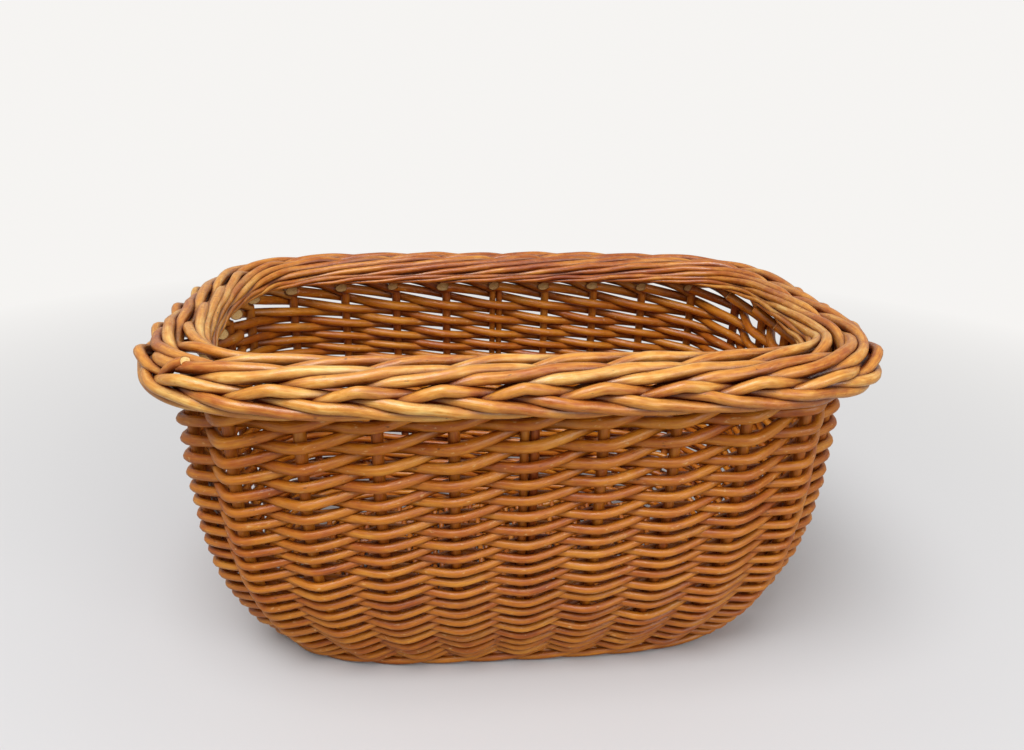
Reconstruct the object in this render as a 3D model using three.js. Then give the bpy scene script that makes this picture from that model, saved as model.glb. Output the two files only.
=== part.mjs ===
// Storage basket of plaited willow: a rounded-rectangular basket that stands on its woven foot.
// Millimetres, +Z up, +X along the basket, -Y is its front. The origin is at the middle of the footprint.
import * as THREE from 'three';

// Driving dimensions: the upright rods
const STAKES = 28; // upright rods round the basket
const STAKE_RADIUS = 3.2; // radius of an upright rod
const STAKE_SIDES = 5; // sides of a rod's section
const FOOT_REACH = 13; // how far a stake's foot reaches into the base
const FOOT_BEND = 1.4; // how far its bend reaches from the corner, in radii of the rod

// Driving dimensions: the wall, measured on the line of the stakes
const FOOT_HALF_LENGTH = 150; // half the length at the floor
const FOOT_HALF_WIDTH = 85.5; // half the width at the floor
const FOOT_SQUARENESS = 3.8; // 2 is an ellipse, more is squarer
const TOP_HALF_LENGTH = 195; // half the length at the top of the wall
const TOP_HALF_WIDTH = 123.5; // half the width at the top of the wall
const TOP_SQUARENESS = 4.6;
const WALL_TOP = 191; // height where the weaving ends and the border begins
const FLARE_POWER = 4; // how early the wall turns upright on its way up

// Driving dimensions: the side weave. As many rods as stakes climb the wall together, each in front of one
// stake and behind the next, up to its butt under the border. At the foot two of them are one rod, bent in
// half round every other stake.
const ROUNDS = 20; // crossings of a rod in front of a stake
const LOWEST_CROSSING = 14; // height of the first of them
const TOP_CROSSING_DROP = 6; // the last of them lies this far below the top of the wall
const PITCH_GROWTH = 0.65; // how much wider the uppermost pitch is than the middle one, as a share of it
const PITCH_POWER = 5; // how late the pitch grows
const FOOT_CROWDING = 0.18; // how much narrower the lowest pitch is
const CROWDING_POWER = 3; // how soon the pitch widens again above the foot
const BEHIND_DROP = 0.23; // a crossing behind a stake lies this share of a pitch below the next one in front
const ROD_HALF_HEIGHT = 0.2; // half the height of a rod, as a share of the pitch
const ROD_HALF_DEPTH = 0.28; // half its depth, as a share of the pitch
const BEND_STEPS = 4; // steps in the bend at the foot
const BUTT_REACH = 0.14; // a butt ends this share of the stakes' spacing past its last stake
const CLEARANCE = 0.3; // gap between pieces that touch
const BEND_ALLOWANCE = 0.45; // extra room at a stake, for the bend of the rod and of the wall

// Driving dimensions: the base
const BASE_STICKS = 6; // rods along the base
const OUTER_STICK_GAP = 10.4; // the outer two lie this far inside the ends of the stakes' feet
const BASE_RODS = 60; // rods woven across them
const BASE_SHEET = 4; // thickness of the weaving above and below them
const BASE_END = 5; // its first and last rods lie this far inside its ends
const BASE_HOLLOW = 3.3; // depth of its hollows, where the rods pass to the other side of a stick
const BASE_LIFT = 1.5; // gap between the floor and the weaving of the base
const BASE_TOP_INSET = 7; // the upper weaving stays this far inside the line of the stakes
const BASE_EDGE_INSET = 4.7; // the lower weaving stays this far inside it
const WALE_INNER_INSET = 3.7; // and the inner face of the foot wale this far
const FOOT_WALE_OUT = 8; // how far the foot wale stands out from the line of the stakes
const FOOT_WALE_ROUND = 2.2; // how far its edges are drawn in

// Driving dimensions: the border
const BORDER_HALF_WIDTH = 24; // half the width of the plaited border
const BORDER_HALF_HEIGHT = 15.5; // half its height
const BORDER_SHIFT = 1; // its middle lies this far outside the line of the stakes
const BORDER_ROD_RADIUS = 3.75; // radius of the rods on its outer face
const RIDGE_AT = 1.05; // a rod reaches the ridge this many stake spacings from its stake
const BORDER_RUN = 2.2; // and then runs down the outer face for this many
const BORDER_TURN = 122; // degrees that it goes round the outer face
const INNER_PLAIT_RISE = 5; // the inner plait begins this far above the top of the wall
const UNDER_PLAIT_HEIGHT = 13; // height of the rods plaited under the outer face
const PLAIT_RIB = 1.6; // depth of the grooves between the plaited rods
const INNER_PLAIT_LEAD = 1 / 3; // the inner plait is fullest this far past each stake, against the rising rod
const UNDER_PLAIT_LEAD = 1 / 2; // and the plait under the outer face is fullest against the stake itself
const PLAIT_STEPS = 3; // steps in the plaited rings from one stake to the next
const PLAIT_SIDES = 8; // sides of a plaited ring's section

const stickLevel = BASE_LIFT + BASE_SHEET + CLEARANCE + STAKE_RADIUS;
const border = {
  level: WALL_TOP + BORDER_HALF_HEIGHT,
  ridge: BORDER_HALF_HEIGHT - BORDER_ROD_RADIUS, // from the border's middle up to a rod on the ridge
  face: BORDER_HALF_WIDTH - BORDER_ROD_RADIUS, // from its middle out to a rod on the outer face
  turn: THREE.MathUtils.degToRad(BORDER_TURN),
};

const willow = new THREE.MeshStandardMaterial({ color: 0xb0692a, roughness: 0.45, metalness: 0 });
const goldenWillow = new THREE.MeshStandardMaterial({ color: 0xd9974a, roughness: 0.4, metalness: 0 });
const darkWillow = new THREE.MeshStandardMaterial({ color: 0x8a4d20, roughness: 0.55, metalness: 0 });

const group = new THREE.Group();

function addPiece(name, geometry, material) {
  const mesh = new THREE.Mesh(geometry, material);
  mesh.name = name;
  group.add(mesh);
  return mesh;
}

// A closed outline that can be asked for its point at a share of the way round, from the middle of the
// front and counter-clockwise seen from above.
function outline(halfLength, halfWidth, squareness) {
  const samples = 1440;
  const points = [];
  for (let i = 0; i <= samples; i++) {
    const angle = -Math.PI / 2 + (2 * Math.PI * i) / samples;
    const power = 2 / squareness;
    const across = Math.sign(Math.cos(angle)) * Math.abs(Math.cos(angle)) ** power;
    const along = Math.sign(Math.sin(angle)) * Math.abs(Math.sin(angle)) ** power;
    points.push(new THREE.Vector2(halfLength * across, halfWidth * along));
  }
  const lengths = [0];
  for (let i = 1; i <= samples; i++) {
    lengths.push(lengths[i - 1] + points[i].distanceTo(points[i - 1]));
  }
  const perimeter = lengths[samples];
  const at = (share) => {
    const target = (share - Math.floor(share)) * perimeter;
    let low = 0;
    let high = samples;
    while (high - low > 1) {
      const middle = (low + high) >> 1;
      if (lengths[middle] > target) high = middle;
      else low = middle;
    }
    const part = (target - lengths[low]) / (lengths[high] - lengths[low]);
    return points[low].clone().lerp(points[high], part);
  };
  return { at, perimeter };
}

const outlines = new Map();

// The line of the stakes at a height.
function wallOutline(height) {
  const key = height.toFixed(4);
  if (!outlines.has(key)) {
    const rest = 1 - Math.min(height / WALL_TOP, 1);
    const flare = 1 - rest ** FLARE_POWER;
    const mix = (foot, top) => foot + (top - foot) * flare;
    outlines.set(key, outline(
      mix(FOOT_HALF_LENGTH, TOP_HALF_LENGTH),
      mix(FOOT_HALF_WIDTH, TOP_HALF_WIDTH),
      mix(FOOT_SQUARENESS, TOP_SQUARENESS),
    ));
  }
  return outlines.get(key);
}

// Small steps along the wall and up it, which give its directions.
const SHARE_STEP = 0.002;
const HEIGHT_STEP = 0.5;

// The level outward direction of the wall.
function levelNormal(share, height) {
  const line = wallOutline(height);
  const run = line.at(share + SHARE_STEP).sub(line.at(share - SHARE_STEP));
  return new THREE.Vector3(run.y, -run.x, 0).normalize();
}

// A point on the line of the stakes, moved out level.
function levelPoint(share, height, out, level = height) {
  const point = wallOutline(height).at(share);
  return new THREE.Vector3(point.x, point.y, level).addScaledVector(levelNormal(share, height), out);
}

// A point of the wall, moved out at right angles to the leaning wall.
function wallPoint(share, height, out) {
  const low = wallOutline(height - HEIGHT_STEP).at(share);
  const high = wallOutline(height + HEIGHT_STEP).at(share);
  const up = new THREE.Vector3(high.x - low.x, high.y - low.y, 2 * HEIGHT_STEP);
  const level = levelNormal(share, height);
  const along = new THREE.Vector3(-level.y, level.x, 0);
  const normal = along.cross(up).normalize();
  const point = wallOutline(height).at(share);
  return new THREE.Vector3(point.x, point.y, height).addScaledVector(normal, out);
}

// A closed body over a row of rings that all have as many points, either a loop or with flat ends.
function skin(rings, loop) {
  const sides = rings[0].length;
  const count = rings.length;
  const positions = rings.flat().flatMap((point) => [point.x, point.y, point.z]);
  const faces = [];
  for (let i = 0; i < (loop ? count : count - 1); i++) {
    for (let j = 0; j < sides; j++) {
      const next = ((i + 1) % count) * sides;
      const a = i * sides + j;
      const b = i * sides + ((j + 1) % sides);
      faces.push(a, b, next + ((j + 1) % sides), a, next + ((j + 1) % sides), next + j);
    }
  }
  if (!loop) {
    const end = (count - 1) * sides;
    for (let j = 1; j < sides - 1; j++) faces.push(0, j + 1, j, end, end + j, end + j + 1);
  }
  const geometry = new THREE.BufferGeometry();
  geometry.setAttribute('position', new THREE.Float32BufferAttribute(positions, 3));
  geometry.setIndex(faces);
  geometry.computeVertexNormals();
  return geometry;
}

// A rod through a row of points, with a radius for each.
function rod(points, radii) {
  const tangents = points.map((point, i) => {
    const before = points[Math.max(i - 1, 0)];
    const after = points[Math.min(i + 1, points.length - 1)];
    return after.clone().sub(before).normalize();
  });
  let normal = new THREE.Vector3(0, 0, 1).cross(tangents[0]).normalize();
  const rings = points.map((point, i) => {
    normal = normal.clone().addScaledVector(tangents[i], -normal.dot(tangents[i])).normalize();
    const side = tangents[i].clone().cross(normal);
    return Array.from({ length: STAKE_SIDES }, (_, j) => {
      const angle = (2 * Math.PI * j) / STAKE_SIDES;
      return point.clone()
        .addScaledVector(normal, radii[i] * Math.cos(angle))
        .addScaledVector(side, radii[i] * Math.sin(angle));
    });
  });
  return skin(rings, false);
}

// A point of the border: out from its middle line, and up from its middle height.
function borderPoint(share, out, up) {
  return levelPoint(share, WALL_TOP, BORDER_SHIFT + out, border.level + up);
}

// One stake: its foot in the base, the upright, and the end turned over the border.
function stake(index) {
  const share = index / STAKES;
  const points = [];
  const radii = [];
  const add = (point, radius) => {
    points.push(point);
    radii.push(radius);
  };
  const bend = STAKE_RADIUS * FOOT_BEND;
  add(levelPoint(share, stickLevel, -FOOT_REACH), STAKE_RADIUS);
  add(levelPoint(share, stickLevel, -bend), STAKE_RADIUS);
  add(levelPoint(share, stickLevel, -bend * 0.2, stickLevel + bend * 0.15), STAKE_RADIUS);
  const rise = WALL_TOP - stickLevel - bend;
  const uprightSteps = 8;
  for (let i = 0; i <= uprightSteps; i++) {
    add(wallPoint(share, stickLevel + bend + rise * (i / uprightSteps) ** 1.5, 0), STAKE_RADIUS);
  }
  const riseSteps = 4;
  for (let i = 1; i < riseSteps; i++) {
    const part = i / riseSteps;
    const quarter = (part * Math.PI) / 2;
    const up = -BORDER_HALF_HEIGHT + (BORDER_HALF_HEIGHT + border.ridge) * Math.sin(quarter);
    const out = -BORDER_SHIFT * Math.sqrt(Math.cos(quarter));
    add(borderPoint(share + (part ** 1.25 * RIDGE_AT) / STAKES, out, up), BORDER_ROD_RADIUS);
  }
  const faceSteps = 7;
  for (let i = 0; i <= faceSteps; i++) {
    const part = i / faceSteps;
    const turn = border.turn * part;
    const run = (RIDGE_AT + BORDER_RUN * part) / STAKES;
    const point = borderPoint(share + run, border.face * Math.sin(turn), border.ridge * Math.cos(turn));
    add(point, BORDER_ROD_RADIUS);
  }
  return rod(points, radii);
}

// The crossings of a weaver: behind a stake, then in front of the next, and so on up the wall.
function crossings() {
  const widths = Array.from({ length: ROUNDS }, (_, i) => {
    const part = i / (ROUNDS - 1);
    return 1 + PITCH_GROWTH * part ** PITCH_POWER - FOOT_CROWDING * (1 - part) ** CROWDING_POWER;
  });
  const total = widths.slice(0, -1).reduce((sum, width) => sum + width, 0);
  const scale = (WALL_TOP - TOP_CROSSING_DROP - LOWEST_CROSSING) / total;
  const lowest = widths[0] * scale;
  const passes = [{ side: -1, level: LOWEST_CROSSING - BEHIND_DROP * lowest, pitch: lowest }];
  let level = LOWEST_CROSSING;
  for (const width of widths) {
    const pitch = width * scale;
    passes.push({ side: 1, level, pitch });
    passes.push({ side: -1, level: level + (1 - BEHIND_DROP) * pitch, pitch });
    level += pitch;
  }
  return passes;
}

// Two weavers that are one rod, bent in half round a stake: one half runs on from the stake's front, the
// other from behind it. A place on the rod's section is an offset to the side of the bend, and a height.
function weaverPair(stakeIndex) {
  const passes = crossings();
  const reach = (pass) => STAKE_RADIUS + CLEARANCE + BEND_ALLOWANCE + ROD_HALF_DEPTH * pass.pitch;
  const section = (pass, place) => {
    const depth = ROD_HALF_DEPTH * pass.pitch;
    const height = ROD_HALF_HEIGHT * pass.pitch;
    return [
      place(depth, pass.level),
      place(0, pass.level - height),
      place(-depth, pass.level),
      place(0, pass.level + height),
    ];
  };
  const half = (first, facing) => {
    const steps = passes.slice(first).map((pass, step) => ({ pass, step }));
    steps.push({ pass: passes.at(-1), step: steps.length - 1 + BUTT_REACH });
    return steps.map(({ pass, step }) => section(pass, (offset, level) => {
      const share = (stakeIndex + step) / STAKES;
      return wallPoint(share, level, pass.side * reach(pass) + facing * offset);
    }));
  };
  const { perimeter } = wallOutline(LOWEST_CROSSING);
  const bend = [];
  for (let i = 1; i < BEND_STEPS; i++) {
    const part = i / BEND_STEPS;
    const angle = Math.PI * part;
    const pass = { ...passes[0], level: THREE.MathUtils.lerp(passes[1].level, passes[0].level, part) };
    bend.push(section(pass, (offset, level) => {
      const radius = reach(pass) - offset;
      const share = stakeIndex / STAKES - (radius * Math.sin(angle)) / perimeter;
      return wallPoint(share, level, radius * Math.cos(angle));
    }));
  }
  return skin([...half(1, -1).reverse(), ...bend, ...half(0, 1)], false);
}

// A ring that follows the border, with slanting grooves where its plaited rods lie.
function plaitedRing(inner, outer, low, high, lead) {
  const middle = { out: (inner + outer) / 2, up: (low + high) / 2 };
  const half = { out: (outer - inner) / 2, up: (high - low) / 2 };
  const rings = [];
  for (let i = 0; i < STAKES * PLAIT_STEPS; i++) {
    const share = i / (STAKES * PLAIT_STEPS);
    rings.push(Array.from({ length: PLAIT_SIDES }, (_, j) => {
      const angle = (-2 * Math.PI * j) / PLAIT_SIDES;
      const phase = 2 * Math.PI * (share * STAKES - lead);
      const groove = (PLAIT_RIB / 2) * (1 - Math.cos(angle - phase));
      return borderPoint(
        share,
        middle.out + (half.out - groove) * Math.cos(angle),
        middle.up + (half.up - groove) * Math.sin(angle),
      );
    }));
  }
  return skin(rings, true);
}

// A quarter of the outline of the base, from the middle of the front to its +X end, drawn in by an inset.
function baseQuarter(inset) {
  const steps = Math.round(0.25 / SHARE_STEP);
  return Array.from({ length: steps + 1 }, (_, i) => levelPoint(i * SHARE_STEP, stickLevel, -inset));
}

function farthest(points, axis) {
  return Math.max(...points.map((point) => Math.abs(point[axis])));
}

const outerStick = farthest(baseQuarter(FOOT_REACH), 'y') - STAKE_RADIUS - OUTER_STICK_GAP;

// How far to the side a base stick lies.
function stickSide(index) {
  return outerStick * ((2 * index) / (BASE_STICKS - 1) - 1);
}

// A base stick, which ends short of the stakes' feet.
function baseStick(side) {
  const quarter = baseQuarter(FOOT_REACH + STAKE_RADIUS);
  const half = farthest(quarter.filter((point) => -point.y >= Math.abs(side) + STAKE_RADIUS), 'x');
  const geometry = new THREE.CylinderGeometry(STAKE_RADIUS, STAKE_RADIUS, 2 * half, 8);
  geometry.rotateZ(Math.PI / 2);
  geometry.translate(0, side, stickLevel);
  return geometry;
}

// The weaving on one side of the base sticks: rods laid close across them, each of which bulges out over one
// stick and goes to the other side at the next. It is flat where it lies on the sticks.
function baseSheet(inset, level, way) {
  const quarter = baseQuarter(inset);
  const halfLength = farthest(quarter, 'x') - BASE_END;
  const widest = farthest(quarter, 'y');
  const rings = [];
  for (let i = 0; i < BASE_RODS; i++) {
    const x = halfLength * ((2 * i) / (BASE_RODS - 1) - 1);
    const half = farthest(quarter.filter((point) => point.x >= Math.abs(x)), 'y');
    const isEnd = i === 0 || i === BASE_RODS - 1;
    const outer = (stick, y) => {
      const hollow = isEnd || (i + stick) % 2 ? BASE_HOLLOW : 0;
      return new THREE.Vector3(x, y, level + way * (BASE_SHEET - hollow));
    };
    const rest = [outer(BASE_STICKS - 1, half)];
    for (let stick = BASE_STICKS - 1; stick >= 0; stick--) {
      rest.push(outer(stick, (stickSide(stick) * half) / widest));
    }
    rest.push(outer(0, -half), new THREE.Vector3(x, -half, level));
    if (way < 0) rest.reverse();
    rings.push([new THREE.Vector3(x, half, level), ...rest]);
  }
  return skin(rings, false);
}

// The foot wale, with a flat underside that the basket stands on.
function footWale() {
  const top = stickLevel - STAKE_RADIUS - CLEARANCE;
  const inner = -WALE_INNER_INSET;
  const rings = [];
  for (let i = 0; i < STAKES * 2; i++) {
    const share = i / (STAKES * 2);
    const corner = (out, height) => levelPoint(share, stickLevel, out, height);
    rings.push([
      corner(FOOT_WALE_OUT, top / 2),
      corner(FOOT_WALE_OUT - FOOT_WALE_ROUND, 0),
      corner(inner, 0),
      corner(inner, top),
      corner(FOOT_WALE_OUT - FOOT_WALE_ROUND, top),
    ]);
  }
  return skin(rings, true);
}

for (let i = 0; i < STAKES; i++) {
  addPiece(`stake_${String(i + 1).padStart(2, '0')}`, stake(i), willow);
}

for (let i = 0; i < STAKES / 2; i++) {
  addPiece(`side_weave_${String(i + 1).padStart(2, '0')}`, weaverPair(2 * i), willow);
}

for (let i = 0; i < BASE_STICKS; i++) {
  addPiece(`base_stick_${i + 1}`, baseStick(stickSide(i)), darkWillow);
}
const besideStick = STAKE_RADIUS + CLEARANCE;
addPiece('base_weave_lower', baseSheet(BASE_EDGE_INSET, stickLevel - besideStick, -1), darkWillow);
addPiece('base_weave_upper', baseSheet(BASE_TOP_INSET, stickLevel + besideStick, 1), darkWillow);
addPiece('foot_wale', footWale(), willow);

const besideStake = BORDER_ROD_RADIUS + CLEARANCE;
addPiece(
  'border_inner_plait',
  plaitedRing(
    -BORDER_HALF_WIDTH,
    -BORDER_SHIFT - besideStake,
    -BORDER_HALF_HEIGHT + INNER_PLAIT_RISE,
    BORDER_HALF_HEIGHT,
    INNER_PLAIT_LEAD,
  ),
  goldenWillow,
);
const behindRodEnds = border.face * Math.sin(border.turn) - BORDER_ROD_RADIUS - 2 * CLEARANCE;
addPiece(
  'border_under_plait',
  plaitedRing(
    -BORDER_SHIFT + besideStake,
    behindRodEnds,
    -BORDER_HALF_HEIGHT,
    -BORDER_HALF_HEIGHT + UNDER_PLAIT_HEIGHT,
    UNDER_PLAIT_LEAD,
  ),
  darkWillow,
);

export default group;
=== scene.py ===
# A storage basket of plaited willow. The rods' lengths are millimetres and become metres in each mesh.
# Those of the materials and the studio are metres.
# A place on the wall is a share of the way round and a height. The share is 0 in the middle of the
# front and grows to the right, seen from the front. A place on the border is a share, how far it lies
# outside the border's middle, and how far above it.
import math

import bpy
import numpy as np
from mathutils import Matrix, Vector


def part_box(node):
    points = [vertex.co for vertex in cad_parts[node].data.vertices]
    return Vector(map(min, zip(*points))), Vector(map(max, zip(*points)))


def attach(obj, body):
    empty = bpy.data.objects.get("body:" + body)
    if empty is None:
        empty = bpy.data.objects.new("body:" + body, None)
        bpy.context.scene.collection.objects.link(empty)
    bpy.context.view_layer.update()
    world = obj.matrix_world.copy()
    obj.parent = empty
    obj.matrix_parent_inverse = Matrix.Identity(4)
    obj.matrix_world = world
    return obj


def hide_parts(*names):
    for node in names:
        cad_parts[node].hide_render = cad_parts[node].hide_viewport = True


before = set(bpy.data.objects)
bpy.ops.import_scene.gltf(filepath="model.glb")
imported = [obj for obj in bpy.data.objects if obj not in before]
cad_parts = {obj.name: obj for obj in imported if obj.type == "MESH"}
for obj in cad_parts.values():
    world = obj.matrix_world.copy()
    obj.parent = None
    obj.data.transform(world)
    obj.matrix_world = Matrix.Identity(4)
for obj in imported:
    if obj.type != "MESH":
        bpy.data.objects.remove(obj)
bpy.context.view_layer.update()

# The construction's own sizes
STAKES = 28
FOOT_HALF_LENGTH = 150.0
FOOT_HALF_WIDTH = 85.5
FOOT_SQUARENESS = 3.8  # the power of the superellipse
TOP_HALF_LENGTH = 195.0
TOP_HALF_WIDTH = 123.5
TOP_SQUARENESS = 4.6
WALL_TOP = 191.0
FLARE_POWER = 4.0  # the higher, the lower down the wall has its full size
BORDER_SHIFT = 1.0  # how far the border's middle lies outside the stakes
BORDER_LEVEL = 206.5
STICK_LEVEL = 9.0

# Thickness of the rods
STAKE_FOOT_RADIUS = 3.0
STAKE_TOP_RADIUS = 3.4
TWIN_RADIUS = 2.6  # each rod of a doubled stake
TWIN_SPREAD = 2.7  # and how far its middle lies from the stake's
WEAVER_RADII = [
    # height, radius
    (14, 2.2),
    (100, 2.5),
    (140, 2.85),
    (165, 3.2),
    (185, 3.5),
    (196, 3.75),
]
UNEVENNESS = 0.03  # how much a rod's thickness varies, as a share of it

rng = np.random.default_rng(28)


# Outline of the wall

SHARE_SAMPLES = 1440
LEVELS = 96
NORMAL_STEP = 0.002  # share to either side over which the wall's direction is taken
SLOPE_STEP = 3.0  # and millimetres above and below


def superellipse(half_length, half_width, squareness):
    """Points at even shares of the way round."""
    angle = np.linspace(-math.pi / 2, 1.5 * math.pi, 4 * SHARE_SAMPLES + 1)
    power = 2 / squareness
    x = half_length * np.sign(np.cos(angle)) * np.abs(np.cos(angle)) ** power
    y = half_width * np.sign(np.sin(angle)) * np.abs(np.sin(angle)) ** power
    length = np.concatenate([[0], np.cumsum(np.hypot(np.diff(x), np.diff(y)))])
    even = np.linspace(0, length[-1], SHARE_SAMPLES + 1)
    return np.stack([np.interp(even, length, x), np.interp(even, length, y)], axis=-1)


def wall_outline(height):
    """The ring that the stakes' line makes at a height."""
    rest = 1 - min(height / WALL_TOP, 1)
    flare = 1 - rest**FLARE_POWER
    return superellipse(
        FOOT_HALF_LENGTH + (TOP_HALF_LENGTH - FOOT_HALF_LENGTH) * flare,
        FOOT_HALF_WIDTH + (TOP_HALF_WIDTH - FOOT_HALF_WIDTH) * flare,
        FOOT_SQUARENESS + (TOP_SQUARENESS - FOOT_SQUARENESS) * flare,
    )


WALL_GRID = np.stack([wall_outline(WALL_TOP * i / LEVELS) for i in range(LEVELS + 1)])


def stake_line(share, height):
    """Points on the line of the stakes."""
    share, height = np.broadcast_arrays(np.asarray(share, float), np.asarray(height, float))
    column = (share % 1.0) * SHARE_SAMPLES
    row = np.clip(height / WALL_TOP, 0, 1) * LEVELS
    c0 = np.minimum(column.astype(int), SHARE_SAMPLES - 1)
    r0 = np.minimum(row.astype(int), LEVELS - 1)
    c = (column - c0)[..., None]
    r = (row - r0)[..., None]
    low = WALL_GRID[r0, c0] * (1 - c) + WALL_GRID[r0, c0 + 1] * c
    high = WALL_GRID[r0 + 1, c0] * (1 - c) + WALL_GRID[r0 + 1, c0 + 1] * c
    return np.concatenate([low * (1 - r) + high * r, height[..., None]], axis=-1)


def unit(vectors):
    """The same directions, one long."""
    return vectors / np.linalg.norm(vectors, axis=-1, keepdims=True)


def level_normal(share, height):
    """The level outward direction."""
    ahead = stake_line(np.add(share, NORMAL_STEP), height)
    run = ahead - stake_line(np.subtract(share, NORMAL_STEP), height)
    out = np.stack([run[..., 1], -run[..., 0], np.zeros(run.shape[:-1])], axis=-1)
    return unit(out)


def wall_normal(share, height):
    """The outward direction at right angles to the leaning wall."""
    height = np.asarray(height, float)
    above = np.minimum(height + SLOPE_STEP, WALL_TOP)
    below = np.clip(height - SLOPE_STEP, 0, WALL_TOP - 2 * SLOPE_STEP)
    up = stake_line(share, above) - stake_line(share, below)
    level = level_normal(share, height)
    along = np.stack([-level[..., 1], level[..., 0], np.zeros(level.shape[:-1])], axis=-1)
    return unit(np.cross(along, up))


def border_place(share, out, up):
    """A point of the border."""
    place = stake_line(share, np.full(np.shape(share), WALL_TOP))
    place = place + level_normal(share, WALL_TOP) * (BORDER_SHIFT + np.asarray(out))[..., None]
    place[..., 2] = BORDER_LEVEL + up
    return place


# Rods

ASKEW = (0.31, 0.17, 0.93)  # a direction that no rod starts along
GRAIN_SHIFT = 500.0  # so that no two rods show the same grain
CUT_ANGLE = 48  # degrees: only the edge of a cut is sharper


def smoothed(paths, times):
    """Paths with their corners rounded a little. The two ends stay."""
    for _ in range(times):
        inner = (paths[..., :-2, :] + 2 * paths[..., 1:-1, :] + paths[..., 2:, :]) / 4
        paths = np.concatenate([paths[..., :1, :], inner, paths[..., -1:, :]], axis=-2)
    return paths


def ripple(count, length, reach):
    """Smooth random numbers about 0, one row for each rod, that change over reach samples."""
    knots = int(length / reach) + 4
    values = rng.standard_normal((count, knots))
    at = np.linspace(0, knots - 1.001, length)
    whole = at.astype(int)
    part = at - whole
    part = part * part * (3 - 2 * part)
    return values[:, whole] * (1 - part) + values[:, whole + 1] * part


def sweep(paths, radii, sides, cuts=None):
    """Rings of points and their grain coordinates, for round rods along paths of shape (rods, steps, 3).

    cuts has one vector for each rod: its last ring is slanted by it.
    """
    rods, steps = paths.shape[:2]
    tangent = unit(np.gradient(paths, axis=1))
    normal = unit(np.cross(np.array(ASKEW), tangent[:, 0]))
    normals = np.zeros_like(paths)
    for i in range(steps):
        normal = normal - tangent[:, i] * np.sum(normal * tangent[:, i], axis=-1, keepdims=True)
        normal = unit(normal)
        normals[:, i] = normal
    sidewise = np.cross(tangent, normals)
    angle = np.linspace(0, 2 * math.pi, sides, endpoint=False)
    across = np.cos(angle)[None, None, :, None] * normals[:, :, None]
    across = across + np.sin(angle)[None, None, :, None] * sidewise[:, :, None]
    rings = paths[:, :, None] + across * radii[:, :, None, None]
    if cuts is not None:
        slant = np.sum((rings[:, -1] - paths[:, -1, None]) * cuts[:, None], axis=-1)
        rings[:, -1] += tangent[:, -1, None] * slant[..., None]
    gone = np.linalg.norm(np.diff(paths, axis=1), axis=-1)
    along = np.concatenate([np.zeros((rods, 1)), np.cumsum(gone, axis=1)], axis=1)
    grain = np.stack(
        [
            np.cos(angle)[None, None] * radii[:, :, None],
            np.sin(angle)[None, None] * radii[:, :, None],
            np.broadcast_to(along[:, :, None], (rods, steps, sides)),
        ],
        axis=-1,
    )
    return rings, grain


def rod_faces(steps, sides):
    """The faces between a rod's rings, and those that close its ends.

    The middles of its two ends are numbered after the points of all the rings.
    """
    i = np.arange(steps - 1)[:, None] * sides
    j = np.arange(sides)[None]
    k = (j + 1) % sides
    walls = np.stack([i + j, i + k, i + sides + k, i + sides + j], axis=-1).reshape(-1, 4)
    last = (steps - 1) * sides
    middle = steps * sides
    ends = []
    for j in range(sides):
        k = (j + 1) % sides
        ends.append([middle, k, j])
        ends.append([middle + 1, last + j, last + k])
    return walls, np.array(ends)


def rod_mesh(name, rings, grain, tone, material):
    """One piece of one or more rods, each closed by a flat cut at both ends."""
    vertices = []
    grains = []
    tones = []
    rims = []
    faces = []
    cut = []
    first = 0
    for ring, lines, value in zip(rings, grain, tone):
        steps, sides = ring.shape[:2]
        ends = np.stack([ring[0].mean(axis=0), ring[-1].mean(axis=0)])
        vertices.append(np.concatenate([ring.reshape(-1, 3), ends]))
        middles = np.stack([lines[0].mean(axis=0), lines[-1].mean(axis=0)])
        shift = rng.uniform(-GRAIN_SHIFT, GRAIN_SHIFT, 3)
        grains.append(np.concatenate([lines.reshape(-1, 3), middles]) + shift)
        along = np.broadcast_to(value, steps)
        tones.append(np.concatenate([np.repeat(along, sides), along[[0, -1]]]))
        rims.append(np.concatenate([np.ones(steps * sides), np.zeros(2)]))
        for part, slot in zip(rod_faces(steps, sides), (0, 1)):
            faces.extend((part + first).tolist())
            cut.extend([slot] * len(part))
        first += steps * sides + 2
    mesh = bpy.data.meshes.new(name)
    mesh.from_pydata((np.concatenate(vertices) / 1000).tolist(), [], faces)
    mesh.polygons.foreach_set("use_smooth", [True] * len(faces))
    mesh.polygons.foreach_set("material_index", cut)
    mesh.set_sharp_from_angle(angle=math.radians(CUT_ANGLE))
    attribute = mesh.attributes.new("grain", "FLOAT_VECTOR", "POINT")
    attribute.data.foreach_set("vector", np.concatenate(grains).ravel().astype(np.float32))
    for key, values in (("tone", tones), ("rim", rims)):
        attribute = mesh.attributes.new(key, "FLOAT", "POINT")
        attribute.data.foreach_set("value", np.concatenate(values).astype(np.float32))
    mesh.materials.append(material)
    mesh.materials.append(cut_end)
    piece = bpy.data.objects.new(name, mesh)
    bpy.context.scene.collection.objects.link(piece)
    return piece


def random_tones(middle, spread, count):
    """A tone for each rod. It is brought to a colour by the material's ramp."""
    return middle + spread * rng.standard_normal(count)


def one_rod(name, rings, grain, tone, i, material):
    """One piece of the rod numbered i alone."""
    return rod_mesh(name, rings[i : i + 1], grain[i : i + 1], tone[i : i + 1], material)


def settle(piece, slot, *nodes):
    """Puts a piece under the body and hides the solids that it stands for. The slot is not used."""
    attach(piece, "root")
    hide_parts(*nodes)


# Materials. The first two axes of the grain go across a rod and the third along it, in millimetres.

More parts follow.
